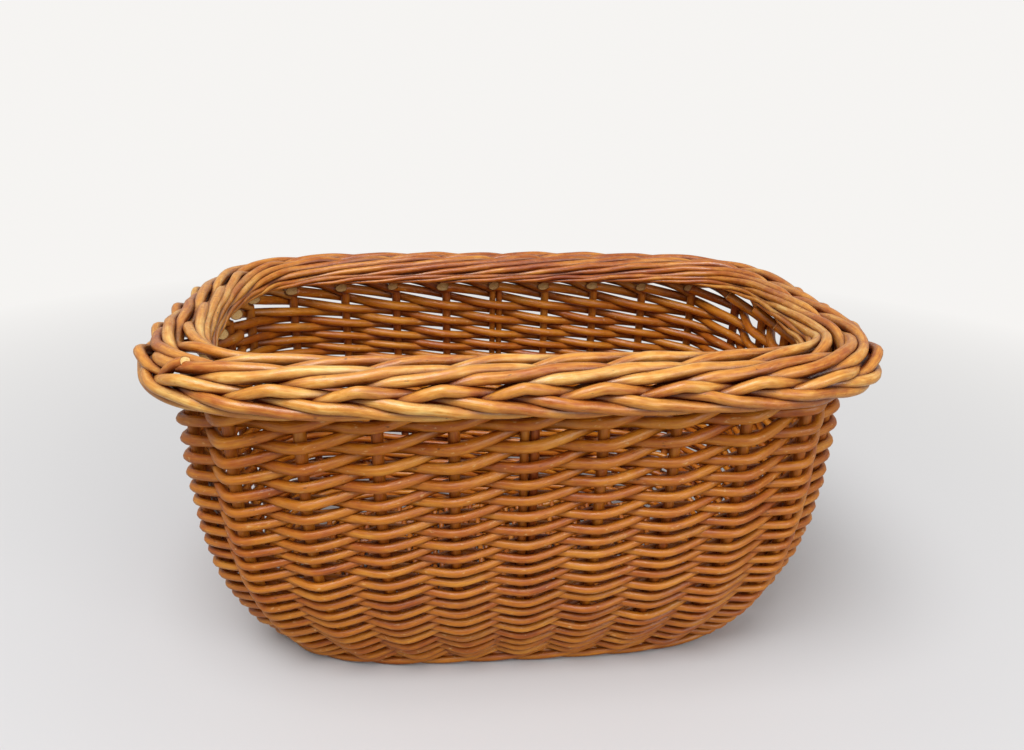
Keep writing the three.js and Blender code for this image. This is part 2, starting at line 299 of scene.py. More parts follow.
# Noises: factors for the three axes, scale, and for some the detail and the roughness
STREAKS = ((1.0, 1.0, 0.045), 1.0, 4.0, 0.6)
CLOUDS = ((0.6, 0.6, 0.35), 0.09)
MOTTLE = ((1.0, 1.0, 0.4), 0.45)
FLECKS = ((1.0, 1.0, 0.35), 0.62, 2.0)
STALE = ((0.8, 0.8, 0.3), 0.11)
SCUFFS = ((1.0, 1.0, 0.5), 0.55, 2.0)
SHEEN = ((1.0, 1.0, 1.0), 0.3)
FIBRES = ((1.0, 1.0, 0.2), 1.6, 4.0, 0.7)

# Where most of a noise's values lie, and between which of them a fleck, a stale or a scuffed place begins
NOISE_SPAN = (0.3, 0.7)
FLECK_SPAN = (0.70, 0.76)
STALE_SPAN = (0.60, 0.72)
SCUFF_SPAN = (0.66, 0.73)

# How far the noises move a rod's tone, and how strong the other places are
STREAK_TONE = 0.13
CLOUD_TONE = 0.2
MOTTLE_TONE = 0.1
FLECK_BROWN = "5A2D10"
FLECK_STRENGTH = 0.65
STALE_GREY = "9A8350"
STALE_STRENGTH = 0.16
SCUFF_PALE = "E6BE80"

PAINTED_SHADE_REACH = 0.007  # painted shade: how near another surface has to be to darken a rod
PAINTED_SHADE_SPAN = 0.7  # how much more open it is where the painted shade ends
GLOSS_SPREAD = (-0.07, 0.12)  # how much glossier and duller a rod is in places
COAT_ROUGHNESS = 0.32
STREAK_RELIEF = 0.6
MOTTLE_RELIEF = 0.9
FLECK_RELIEF = 0.35
ROD_BUMP = (0.55, 0.0006)  # strength and distance
CUT_BUMP = (0.6, 0.0004)
CUT_PALE = [(0.25, "CC9448"), (0.5, "F0C47C"), (0.8, "FFE4B0")]
CUT_ROUGHNESS = 0.75
BARK_BROWN = "7A4716"
BARK_RIM = (0.80, 0.97)  # shares of a cut's radius between which the bark begins


def colour(code):
    """A linear colour from a written one."""
    values = [int(code[i : i + 2], 16) / 255 for i in (0, 2, 4)]
    linear = [v / 12.92 if v <= 0.04045 else ((v + 0.055) / 1.055) ** 2.4 for v in values]
    return (*linear, 1.0)


class Nodes:
    """A new material, and short ways to add and link its nodes."""

    def __init__(self, name):
        self.material = bpy.data.materials.new(name)
        self.material.use_nodes = True
        self.tree = self.material.node_tree
        self.shader = self.tree.nodes["Principled BSDF"]

    def add(self, kind, **settings):
        node = self.tree.nodes.new(kind)
        for key, value in settings.items():
            setattr(node, key, value)
        return node

    def link(self, source, target):
        self.tree.links.new(source, target)

    def put(self, socket, value):
        if isinstance(value, bpy.types.NodeSocket):
            self.link(value, socket)
        else:
            socket.default_value = value

    def attribute(self, name):
        return self.add("ShaderNodeAttribute", attribute_name=name)

    def noise(self, vector, factors, scale, detail=3.0, roughness=0.5):
        mapping = self.add("ShaderNodeMapping")
        mapping.inputs["Scale"].default_value = factors
        self.link(vector, mapping.inputs["Vector"])
        node = self.add("ShaderNodeTexNoise")
        node.inputs["Scale"].default_value = scale
        node.inputs["Detail"].default_value = detail
        node.inputs["Roughness"].default_value = roughness
        self.link(mapping.outputs["Vector"], node.inputs["Vector"])
        return node.outputs["Fac"]

    def maths(self, operation, a, b=0.0, c=0.0):
        node = self.add("ShaderNodeMath", operation=operation)
        self.put(node.inputs[0], a)
        self.put(node.inputs[1], b)
        self.put(node.inputs[2], c)
        return node.outputs[0]

    def between(self, value, low, high, to_low=0.0, to_high=1.0):
        node = self.add("ShaderNodeMapRange")
        self.put(node.inputs["Value"], value)
        node.inputs["From Min"].default_value = low
        node.inputs["From Max"].default_value = high
        node.inputs["To Min"].default_value = to_low
        node.inputs["To Max"].default_value = to_high
        return node.outputs["Result"]

    def mix(self, factor, a, b, blend="MIX"):
        node = self.add("ShaderNodeMix", data_type="RGBA", blend_type=blend)
        self.put(node.inputs[0], factor)
        self.put(node.inputs[6], a)
        self.put(node.inputs[7], b)
        return node.outputs[2]

    def ramp(self, value, stops):
        node = self.add("ShaderNodeValToRGB")
        elements = node.color_ramp.elements
        while len(elements) < len(stops):
            elements.new(0.5)
        for element, (place, code) in zip(elements, stops):
            element.position = place
            element.color = colour(code)
        self.link(value, node.inputs["Fac"])
        return node.outputs["Color"]

    def swayed(self, value, noise, reach):
        """The value, moved by a noise to either side."""
        return self.maths("ADD", value, self.between(noise, *NOISE_SPAN, -reach, reach))

    def tinted(self, base, places, strength, code):
        """The base colour, with another one in places."""
        return self.mix(self.maths("MULTIPLY", places, strength), base, colour(code))

    def bumped(self, height, strength, distance):
        bump = self.add("ShaderNodeBump")
        bump.inputs["Strength"].default_value = strength
        bump.inputs["Distance"].default_value = distance
        self.link(height, bump.inputs["Height"])
        self.link(bump.outputs["Normal"], self.shader.inputs["Normal"])


def willow(name, stops, painted_shade_colour, hidden, depth, wear, roughness, coat):
    """Peeled and varnished willow: streaks along the rod, cloudy tone, specks, and painted shade where
    other rods lie near.

    The painted shade has its whole depth where only the share hidden, or less, is open around a point.
    """
    n = Nodes(name)
    grain = n.attribute("grain").outputs["Vector"]
    tone = n.attribute("tone").outputs["Fac"]
    streaks = n.noise(grain, *STREAKS)
    mottle = n.noise(grain, *MOTTLE)
    tone = n.swayed(tone, streaks, STREAK_TONE)
    tone = n.swayed(tone, n.noise(grain, *CLOUDS), CLOUD_TONE)
    tone = n.swayed(tone, mottle, MOTTLE_TONE)
    base = n.ramp(tone, stops)
    flecks = n.between(n.noise(grain, *FLECKS), *FLECK_SPAN)
    base = n.tinted(base, flecks, FLECK_STRENGTH, FLECK_BROWN)
    base = n.tinted(base, n.between(n.noise(grain, *STALE), *STALE_SPAN), STALE_STRENGTH, STALE_GREY)
    base = n.tinted(base, n.between(n.noise(grain, *SCUFFS), *SCUFF_SPAN), wear, SCUFF_PALE)
    # Painted shade: ambient occlusion darkens the colour towards the shade colour where other rods lie
    # near
    shade_occlusion = n.add("ShaderNodeAmbientOcclusion", samples=4)
    shade_occlusion.inputs["Distance"].default_value = PAINTED_SHADE_REACH
    shade = n.between(shade_occlusion.outputs["AO"], hidden, hidden + PAINTED_SHADE_SPAN, depth, 0.0)
    base = n.mix(shade, base, n.mix(1.0, base, colour(painted_shade_colour), "MULTIPLY"))
    n.link(base, n.shader.inputs["Base Color"])
    glossy, dull = (roughness + change for change in GLOSS_SPREAD)
    sheen = n.between(n.noise(grain, *SHEEN), *NOISE_SPAN, glossy, dull)
    n.link(sheen, n.shader.inputs["Roughness"])
    n.shader.inputs["Coat Weight"].default_value = coat
    n.shader.inputs["Coat Roughness"].default_value = COAT_ROUGHNESS
    relief = n.maths("MULTIPLY", streaks, STREAK_RELIEF)
    relief = n.maths("ADD", relief, n.maths("MULTIPLY", mottle, MOTTLE_RELIEF))
    relief = n.maths("SUBTRACT", relief, n.maths("MULTIPLY", flecks, FLECK_RELIEF))
    n.bumped(relief, *ROD_BUMP)
    return n.material


def cut_willow():
    """The sawn or clipped end of a rod: pale, fibrous and dull, with a rim of bark."""
    n = Nodes("cut_willow")
    grain = n.attribute("grain").outputs["Vector"]
    fibres = n.noise(grain, *FIBRES)
    base = n.ramp(fibres, CUT_PALE)
    bark = n.between(n.attribute("rim").outputs["Fac"], *BARK_RIM)
    n.link(n.mix(bark, base, colour(BARK_BROWN)), n.shader.inputs["Base Color"])
    n.shader.inputs["Roughness"].default_value = CUT_ROUGHNESS
    n.bumped(fibres, *CUT_BUMP)
    return n.material


# Ramps from dark to pale
HONEY = [(0.0, "8E3A06"), (0.3, "B96517"), (0.6, "DF983B"), (1.0, "FFD680")]
AMBER = [(0.0, "843404"), (0.3, "B05A0A"), (0.6, "CA7A16"), (1.0, "E8A23A")]
RUSSET = [(0.0, "783308"), (0.3, "9C4E0E"), (0.6, "B86816"), (1.0, "D58E30")]

# Each material's crevice colour, hidden and depth set its painted shade between rods
border_willow = willow(
    "border_willow", HONEY, painted_shade_colour="6C2200", hidden=0.34, depth=1.0, wear=0.2, roughness=0.32, coat=0.42
)
weave_willow = willow(
    "weave_willow", AMBER, painted_shade_colour="84300A", hidden=0.24, depth=0.7, wear=0.5, roughness=0.38, coat=0.2
)
stake_willow = willow(
    "stake_willow", AMBER, painted_shade_colour="84300A", hidden=0.2, depth=0.6, wear=0.2, roughness=0.42, coat=0.2
)
base_willow = willow(
    "base_willow", RUSSET, painted_shade_colour="7C3008", hidden=0.2, depth=0.65, wear=0.2, roughness=0.46, coat=0.15
)
cut_end = cut_willow()


# Border: one rod from each stake, plaited with its neighbours

BORDER_HALF_OUT = 20.25  # half axes of the ring of rod middles
BORDER_HALF_UP = 11.75
BORDER_STEPS = 20  # steps in one stake spacing
ROD_TURNS = [
    # stake spacings from the rod's own stake, out, up
    (0.0, -1.0, -15.5),
    (0.35, -0.5, -9.0),
    (0.75, 5.0, -6.5),
    (1.05, 10.0, -5.0),
    (1.25, 14.0, -3.5),
    (1.39, 17.0, -1.4),
    (1.5, 19.2, 1.8),
    (1.62, 20.2, 3.8),
    (1.77, 20.6, 5.2),
    (1.87, 20.2, 6.0),
    (2.1, 18.4, 4.6),
    (2.27, 15.8, 2.4),
    (2.42, 13.4, 0.2),
    (2.6, 13.2, -1.6),
    (2.77, 15.4, -1.6),
    (2.95, 18.4, -0.6),
    (3.2, 20.3, -0.6),
    (3.5, 20.7, -2.0),
    (3.83, 20.7, -4.0),
    (4.17, 19.9, -6.5),
    (4.49, 18.2, -8.3),
    (4.8, 15.2, -9.6),
    (5.0, 12.6, -9.8),
    (5.3, 8.0, -7.5),
    (5.58, 6.8, -1.5),
    (5.8, 8.5, 2.5),
]
ROD_RETURN = [
    # stake spacings, degrees round from the ridge (outwards), distance outside the ring
    (6.0, 51, -4.0),
    (6.3, 46, -1.5),
    (6.95, 33, 0.0),
    (7.5, 22, 0.0),
    (7.9, 14, -1.2),
    (8.2, 11, -4.5),
    (8.6, 9, -7.0),
    (8.95, 6, -4.5),
    (9.2, -4, -0.5),
    (9.53, -18, 0.8),
    (10.0, -28, 0.5),
    (10.5, -37, 0.0),
    (11.0, -46, 0.0),
    (12.0, -62, -0.5),
    (12.3, -68, -2.0),
    (12.6, -75, -4.5),
    (12.9, -81, -2.0),
    (13.3, -87, -0.5),
    (14.0, -94, 0.0),
    (14.5, -97, 0.3),
    (15.1, -100, -0.3),
]
ROD_RADII = [
    (0.0, 3.2),
    (2.0, 3.2),
    (2.5, 2.8),
    (3.1, 3.15),
    (5.0, 3.2),
    (7.0, 3.45),
    (9.3, 3.2),
    (10.6, 2.85),
    (12.6, 2.3),
    (14.4, 1.5),
    (15.1, 1.0),
]
ROD_KINKS = (1.87, 5.1)  # where it is bent sharply
KINK_STIFFNESS = 0.1
ROD_STIFFNESS = ((3.0, 300), (1.0, 150))  # stiffness, and how many rounds it is used for
ROD_SQUEEZE = 0.88  # how close two rods lie where they press, as a share of their radii
PULL_BACK = 0.02  # how much of its way back a rod goes in each round
HELD_STEPS = 4  # steps from the stake that stay where they are
TOUCHING_RODS = 14  # so many rods before it and after it, a rod may touch
TOUCHING_SLIP = 4  # steps to either side among which the nearest point is looked for
BORDER_WANDER = 0.38  # how far a rod wanders from its path
BORDER_UNEVENNESS = 0.025
BORDER_CUT = 0.8  # how much the rods' hidden ends are slanted at most
BORDER_TONE = (0.54, 0.08)  # middle and spread
BACK_PAINTED_SHADE = 0.27  # painted shade: how much darker the rods are at the back
BACK_SHADE_REACH = 0.2
NARROW_PLACES = (0.27, 0.745)  # where the border's inner side is narrower: at the ends
NARROW_REACH = 0.065
NARROWING = 0.5


def ring_place(turn, outside):
    """A place in the border's section, from degrees round its ring and a distance outside it."""
    angle = math.radians(turn)
    out = BORDER_HALF_OUT * math.sin(angle)
    up = BORDER_HALF_UP * math.cos(angle)
    slope = np.array([math.sin(angle) / BORDER_HALF_OUT, math.cos(angle) / BORDER_HALF_UP])
    slope /= np.linalg.norm(slope)
    return out + slope[0] * outside, up + slope[1] * outside


def border_section(spacing):
    """Where one rod runs in the border's section, after it has been pressed against its neighbours."""
    back = [(at, *ring_place(turn, outside)) for at, turn, outside in ROD_RETURN]
    keys = np.array(ROD_TURNS + back)
    count = round(keys[-1, 0] * BORDER_STEPS) + 1
    at = np.arange(count) / BORDER_STEPS
    aim = np.stack([np.interp(at, keys[:, 0], column) for column in keys.T[1:]], axis=-1)
    aim = smoothed(aim, 6)
    radii = np.interp(at, *np.array(ROD_RADII).T)
    bending = np.diff(np.eye(count), 2, axis=0)
    for kink in ROD_KINKS:
        bending[round(kink * BORDER_STEPS) - 1] *= KINK_STIFFNESS
    place = aim.copy()
    for stiffness, rounds in ROD_STIFFNESS:
        relax = np.linalg.inv(np.eye(count) + stiffness * bending.T @ bending)
        for _ in range(rounds):
            push = contact_push(place, radii * ROD_SQUEEZE, spacing / BORDER_STEPS)
            place = relax @ (place + push)
            place += (aim - place) * PULL_BACK
            place[:HELD_STEPS] = aim[:HELD_STEPS]
    return at, place, radii


def neighbours(count):
    """Steps between two points of the border that may touch, and by how many they aren't side by side."""
    for turns in range(1, TOUCHING_RODS + 1):
        for slip in range(-TOUCHING_SLIP, TOUCHING_SLIP + 1):
            lag = turns * BORDER_STEPS + slip
            if lag < count:
                yield lag, slip


def contact_push(place, radii, step):
    """How far each point of a rod is pushed by the same rod from the stakes before and after."""
    push = np.zeros_like(place)
    touches = np.ones(len(place))
    for lag, slip in neighbours(len(place)):
        apart = place[lag:] - place[:-lag]
        flat = np.linalg.norm(apart, axis=-1) + 1e-6
        distance = np.sqrt(flat**2 + (slip * step) ** 2)
        deep = np.maximum(radii[lag:] + radii[:-lag] - distance, 0)
        move = apart / flat[:, None] * deep[:, None] * 0.5
        push[lag:] += move
        push[:-lag] -= move
        touches[lag:] += deep > 0
        touches[:-lag] += deep > 0
    return push / np.sqrt(touches)[:, None]


def border_overlap(place, radii, step):
    """The deepest overlap left, for the log."""
    worst = 0
    for lag, slip in neighbours(len(place)):
        flat = np.linalg.norm(place[lag:] - place[:-lag], axis=-1)
        deep = radii[lag:] + radii[:-lag] - np.sqrt(flat**2 + (slip * step) ** 2)
        worst = max(worst, deep.max())
    return worst


def rim_length():
    """The length of the line along the border's middle."""
    ring = border_place(np.linspace(0, 1, 721), np.zeros(721), np.zeros(721))
    return np.linalg.norm(np.diff(ring, axis=0), axis=-1).sum()


def bell(share, middle, reach):
    """1 at a share of the way round, falling to 0 on both sides of it."""
    return np.exp(-(((share % 1.0) - middle) / reach) ** 2)


def make_border():
    spacing = rim_length() / STAKES
    at, place, radii = border_section(spacing)
    print("border overlap", round(border_overlap(place, radii, spacing / BORDER_STEPS), 3))
    share = (np.arange(STAKES)[:, None] + at[None]) / STAKES
    count = len(at)
    out = place[None, :, 0] + ripple(STAKES, count, 14) * BORDER_WANDER
    near = sum(bell(share, middle, NARROW_REACH) for middle in NARROW_PLACES)
    out = np.where(out < 0, out * (1 - NARROWING * near), out)
    up = place[None, :, 1] + ripple(STAKES, count, 14) * BORDER_WANDER
    paths = smoothed(border_place(share, out, up), 1)
    thickness = radii[None] * (1 + BORDER_UNEVENNESS * ripple(STAKES, count, 9))
    cuts = rng.uniform(-BORDER_CUT, BORDER_CUT, (STAKES, 3))
    rings, grain = sweep(paths, thickness, 12, cuts=cuts)
    # Painted shade: the rods' tone is darker towards the back of the border
    tone = random_tones(*BORDER_TONE, STAKES)[:, None] - BACK_PAINTED_SHADE * bell(share, 0.5, BACK_SHADE_REACH)
    for i in range(STAKES):
        piece = one_rod(f"border_rod_{i + 1:02d}", rings, grain, tone, i, border_willow)
        settle(piece, "border_willow", f"stake_{i + 1:02d}", "border_inner_plait", "border_under_plait")


# The cut butt of a rod that was laid into the border at its front left corner

INSERTED_KEYS = [
    # share, out, up
    (0.8360, 17.0, -4.0),
    (0.8400, 16.0, 4.5),
    (0.8440, 14.0, 10.0),
    (0.8485, 11.2, 12.0),
]
INSERTED_RADIUS = 3.0
INSERTED_CUT = (0.1, 0.5, -0.5)
INSERTED_TONE = 0.35
INSERTED_STEPS = 17


def make_inserted_butt():
    keys = np.array(INSERTED_KEYS)
    at = np.linspace(0, len(keys) - 1, INSERTED_STEPS)
    share, out, up = (np.interp(at, np.arange(len(keys)), column) for column in keys.T)
    paths = smoothed(border_place(share, out, up)[None], 3)
    radii = np.full((1, INSERTED_STEPS), INSERTED_RADIUS)
    rings, grain = sweep(paths, radii, 14, cuts=np.array([INSERTED_CUT]))
    piece = rod_mesh("border_inserted_butt", rings, grain, [INSERTED_TONE], border_willow)
    settle(piece, "border_willow", "border_inner_plait", "border_under_plait")


# Stakes: the uprights, with a foot turned into the base

FOOT_REACH = 13.0  # how far inside the stakes' line the foot runs level
FOOT_TAIL = 22.0  # and how much further it reaches under the base
FOOT_BEND = 1.6  # the bend's size, in radii of the rod
UPRIGHT_STEPS = 46
STAKE_TONE = (0.45, 0.12)  # middle and spread


def stake_path(share):
    """A stake's middle line, from the end of its foot up into the border."""
    bend = STAKE_FOOT_RADIUS * FOOT_BEND
    reaches = (FOOT_REACH + FOOT_TAIL, FOOT_REACH, bend * 2, bend, 0.4 * bend)
    inwards = -level_normal(share, STICK_LEVEL)
    foot = [stake_line(share, STICK_LEVEL) + inwards * reach for reach in reaches]
    heights = np.linspace(STICK_LEVEL + bend * 0.7, WALL_TOP + 1, UPRIGHT_STEPS)
    upright = stake_line(np.full(UPRIGHT_STEPS, share), heights)
    return np.concatenate([np.array(foot), upright])


def make_stakes():
    for i in range(STAKES):
        share = i / STAKES
        twin = i in (0, STAKES // 2)
        offsets = (-TWIN_SPREAD, TWIN_SPREAD) if twin else (0.0,)
        level = level_normal(share, WALL_TOP)
        along = np.array([-level[1], level[0], 0.0])
        paths = smoothed(np.array([stake_path(share) + along * offset for offset in offsets]), 1)
        count = paths.shape[1]
        radius = np.linspace(STAKE_FOOT_RADIUS, STAKE_TOP_RADIUS, count)
        if twin:
            radius = np.full(count, TWIN_RADIUS)
        radii = radius[None] * (1 + UNEVENNESS * ripple(len(offsets), count, 8))
        rings, grain = sweep(paths, radii, 10)
        tone = random_tones(*STAKE_TONE, len(offsets))
        piece = rod_mesh(f"stake_rod_{i + 1:02d}", rings, grain, tone, stake_willow)
        settle(piece, "stake_willow", f"stake_{i + 1:02d}")


# Side weave: as many weavers as stakes, each in front of one stake and behind the next, climbing

ROUNDS = 20  # how often a weaver passes in front of a stake
LOWEST_CROSSING = 14.0
TOP_CROSSING_DROP = 6.0  # how far below the wall's top the last one lies
PITCH_GROWTH = 0.65  # how much wider apart the rods lie at the top
PITCH_POWER = 5
FOOT_CROWDING = 0.18  # and how much closer at the foot
CROWDING_POWER = 3
BEHIND_DROP = 0.34  # a weaver dips behind a stake by this share of the pitch
BUTT_REACH = 0.05  # how far its butt goes past the last stake, in stake spacings
BUTT_RISE = 2.5  # and how much higher it lies, against the border
WEAVER_LEAD = 0.11  # how far out a rod still lies halfway to the stake behind which it goes, in pitches
WEAVER_STEPS = 12  # steps in one stake spacing
WEAVER_SQUEEZE = 0.97  # how close it lies to a stake, as a share of its radius
HEIGHT_JITTER = 0.55
REACH_JITTER = 0.3
CURVED_SHARE = 0.4  # how much of its way between stakes is an S, not straight
CUT_TILT = (0.0, 0.0, 0.8)  # the butts are cut so that they face up and inwards
WEAVER_SIZES = (0.95, 1.04)  # the thinnest and the thickest weaver, against the usual one
CUT_SLANTS = (0.75, 1.15)
WEAVER_TONE = (0.48, 0.06)  # middle and spread


def crossing_heights():
    """Height of each crossing of a weaver, and the pitch there up the slope of the wall."""
    part = np.arange(ROUNDS) / (ROUNDS - 1)
    widths = 1 + PITCH_GROWTH * part**PITCH_POWER - FOOT_CROWDING * (1 - part) ** CROWDING_POWER
    widths *= (WALL_TOP - TOP_CROSSING_DROP - LOWEST_CROSSING) / widths[:-1].sum()
    fronts = LOWEST_CROSSING + np.concatenate([[0], np.cumsum(widths[:-1])])
    backs = fronts + (1 - BEHIND_DROP) * widths
    first = fronts[0] - BEHIND_DROP * widths[0]
    levels = np.concatenate([[first], np.stack([fronts, backs], axis=-1).ravel()])
    levels[-1] += BUTT_RISE
    rise = stake_line(0.0, levels + 1) - stake_line(0.0, levels - 1)
    slope = np.linalg.norm(rise, axis=-1) / 2
    return levels, np.concatenate([widths[:1], np.repeat(widths, 2)]) * slope


def weaver_heights(levels, cell, way):
    """Height of each weaver at each step. way runs from 0 at one stake to 1 at the next."""
    level = levels[None] + HEIGHT_JITTER * rng.standard_normal((STAKES, len(levels)))
    height = level[:, cell] * (1 - way) + level[:, cell + 1] * way
    return smoothed(height[..., None], 3)[..., 0]


def weaver_reaches(levels, pitches, radius, cell, way):
    """How far each weaver lies outside the line of the stakes at each step."""
    stake_radius = np.interp(levels, [0, WALL_TOP], [STAKE_FOOT_RADIUS, STAKE_TOP_RADIUS])
    side = np.where(np.arange(len(levels)) % 2 == 1, 1.0, -1.0)
    reach = side * (stake_radius + radius * WEAVER_SQUEEZE)
    reach = reach[None] + REACH_JITTER * rng.standard_normal((STAKES, len(levels)))
    curve = 0.5 + 0.5 * np.cos(math.pi * way)
    left = CURVED_SHARE * curve + (1 - CURVED_SHARE) * (1 - way)
    out = reach[:, cell] * left + reach[:, cell + 1] * (1 - left)
    return out + (side[cell] * WEAVER_LEAD * pitches[cell] * np.sin(math.pi * way))[None]


def make_weave():
    levels, pitches = crossing_heights()
    crossings = len(levels)
    at = np.arange(0, (crossings - 1) * WEAVER_STEPS + 1) / WEAVER_STEPS
    at = np.concatenate([at, [at[-1] + BUTT_REACH]])
    cell = np.minimum(at.astype(int), crossings - 2)
    part = at - cell
    way = np.clip(part, 0, 1)
    radius = np.interp(levels, *np.array(WEAVER_RADII).T)
    height = weaver_heights(levels, cell, way)
    out = weaver_reaches(levels, pitches, radius, cell, way)
    here = (np.arange(STAKES)[:, None] + cell[None]) / STAKES
    there = (np.arange(STAKES)[:, None] + cell[None] + 1) / STAKES
    mix = part[None, :, None]
    path = stake_line(here, height) * (1 - mix) + stake_line(there, height) * mix
    normal = unit(wall_normal(here, height) * (1 - mix) + wall_normal(there, height) * mix)
    paths = smoothed(path + normal * out[..., None], 2)
    radii = np.interp(at, np.arange(crossings), radius)[None]
    radii = radii * (1 + UNEVENNESS * ripple(STAKES, len(at), 10))
    radii = radii * rng.uniform(*WEAVER_SIZES, (STAKES, 1))
    cuts = (normal[:, -1] - np.array(CUT_TILT)) * rng.uniform(*CUT_SLANTS, (STAKES, 1))
    rings, grain = sweep(paths, radii, 10, cuts=cuts)
    tone = random_tones(*WEAVER_TONE, STAKES)
    solids = [name for name in sorted(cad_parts) if name.startswith("side_weave_")]
    for i in range(STAKES):
        piece = one_rod(f"weaver_{i + 1:02d}", rings, grain, tone, i, weave_willow)
        settle(piece, "weave_willow", *solids)


# Foot wale: three rods round the edge of the base, in front of two stakes and behind the third

WALE_RADIUS = 2.35
WALE_STEPS = 12  # steps in one stake spacing
WALE_RUNS = (30, 27, 27)  # stake spacings that each rod runs: it ends inside, behind a stake
WALE_WANDER = 0.15
WALE_TONE = (0.48, 0.05)  # middle and spread
WALE_KEYS = [
    # stake spacings, out, height
    (0.0, -4.6, 14.5),
    (0.5, 1.0, 6.5),
    (1.0, 5.6, 2.4),
    (1.5, 6.4, 3.4),
    (2.0, 6.0, 6.2),
    (2.5, 1.5, 11.5),
    (3.0, -4.6, 14.5),
]


def make_wale():
    keys = np.array(WALE_KEYS)
    tone = random_tones(*WALE_TONE, len(WALE_RUNS))
    for i, run in enumerate(WALE_RUNS):
        count = run * WALE_STEPS + 1
        at = np.arange(count) / WALE_STEPS
        phase = at % keys[-1, 0]
        turns = np.stack([np.interp(phase, keys[:, 0], column) for column in keys.T[1:]], axis=-1)
        out, up = smoothed(turns, 4).T
        share = (i + STAKES // 2 + at[None]) / STAKES
        up = up[None] + WALE_WANDER * ripple(1, count, 10)
        out = out[None] + WALE_WANDER * ripple(1, count, 10)
        radii = WALE_RADIUS * (1 + UNEVENNESS * ripple(1, count, 9))
        up = np.maximum(up, radii)
        path = stake_line(share, up) + level_normal(share, up) * out[..., None]
        rings, grain = sweep(path, radii, 10)
        piece = rod_mesh(f"foot_wale_rod_{i + 1}", rings, grain, [tone[i]], weave_willow)
        settle(piece, "weave_willow", "foot_wale")


# Base: six sticks along it, with rods woven across them

BASE_RODS = 60
BASE_END = 9.5  # the first and last rods lie this far inside the line of the stakes
BASE_EDGE = 5.0  # and the ends of all of them this far
BASE_ROD_RADIUS = 2.15
BASE_STICK_RADIUS = 3.2
BASE_SQUEEZE = 0.9  # how close a rod lies to a stick, as a share of its radius
WAVE_POWER = 0.8  # below 1, a rod lies flatter on the sticks and is steeper between them
STICK_STEPS = 60
ROD_STEPS = 100
STICK_WANDER = 0.3
ROD_WANDER = 0.2
BASE_UNEVENNESS = 0.04
BASE_TONE = (0.5, 0.12)  # middle and spread
BASE_CLEARANCE = 0.3  # between the lowest rods and the floor


def make_base_stick(i, node):
    """One stick in the place of its solid. Gives back how far from the middle of the base it lies."""
    low, high = (1000 * np.array(corner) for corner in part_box(node))
    middle = (low[1] + high[1]) / 2
    x = np.linspace(low[0], high[0], STICK_STEPS)
    path = np.stack([x, np.full(STICK_STEPS, middle), np.full(STICK_STEPS, STICK_LEVEL)], axis=-1)[None]
    wander = [ripple(1, STICK_STEPS, 12), ripple(1, STICK_STEPS, 12)]
    path[..., 1:] += STICK_WANDER * np.stack(wander, axis=-1)
    radii = BASE_STICK_RADIUS * (1 + UNEVENNESS * ripple(1, STICK_STEPS, 9))
    rings, grain = sweep(path, radii, 12)
    piece = rod_mesh(f"base_stick_rod_{i + 1}", rings, grain, [BASE_TONE[0]], base_willow)
    settle(piece, "base_willow", node)
    return middle


def make_base():
    sticks = sorted(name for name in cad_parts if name.startswith("base_stick_"))
    middles = [make_base_stick(i, node) for i, node in enumerate(sticks)]
    gap = (middles[-1] - middles[0]) / (len(middles) - 1)
    quarter = np.linspace(0, 0.25, 181)
    edge = stake_line(quarter, STICK_LEVEL) - BASE_EDGE * level_normal(quarter, STICK_LEVEL)
    reach = stake_line(0.25, STICK_LEVEL)[0] - BASE_END
    swing = BASE_STICK_RADIUS + BASE_SQUEEZE * BASE_ROD_RADIUS
    paths = []
    for row in range(BASE_RODS):
        x = reach * (2 * row / (BASE_RODS - 1) - 1)
        half = np.interp(abs(x), edge[:, 0], -edge[:, 1])
        y = np.linspace(-half, half, ROD_STEPS)
        wave = np.cos(math.pi * (y - middles[0]) / gap)
        side = 1 if row % 2 else -1
        z = STICK_LEVEL + side * swing * np.sign(wave) * np.abs(wave) ** WAVE_POWER
        paths.append(np.stack([np.full(ROD_STEPS, x), y, z], axis=-1))
    paths = smoothed(np.array(paths), 2)
    paths[..., 0] += ROD_WANDER * ripple(BASE_RODS, ROD_STEPS, 12)
    radii = BASE_ROD_RADIUS * (1 + BASE_UNEVENNESS * ripple(BASE_RODS, ROD_STEPS, 10))
    paths[..., 2] = np.maximum(paths[..., 2], radii + BASE_CLEARANCE)
    rings, grain = sweep(paths, radii, 8)
    tone = random_tones(*BASE_TONE, BASE_RODS)
    piece = rod_mesh("base_weavers", rings, grain, tone, base_willow)
    settle(piece, "base_willow", "base_weave_lower", "base_weave_upper")


# Studio: a pale floor, a soft key lamp, a fill and an even sky

BACKDROP = (0.92, 0.906, 0.888, 1.0)  # what the camera sees far from the basket
FLOOR_FADE = (0.28, 1.05)  # distances from the basket between which the floor turns into it
FLOOR_HALF_SIZE = 12.0
FLOOR_SEEN = "D2D2D4"  # its colour in the picture
FLOOR_LIT = "A5A29C"  # and in the light that it sends back to the basket
FLOOR_ROUGHNESS = 0.8
SKY_COLOUR = (1.0, 0.985, 0.965, 1.0)
SKY_LIGHT = 0.47
LAMP_SIZE = 1.2
LAMP_AIM = (0, 0, 0.1)
KEY_LAMP = ((-0.4, -0.72, 1.75), 27)  # place and power
FILL_LAMP = ((1.0, -1.4, 0.9), 10.5)


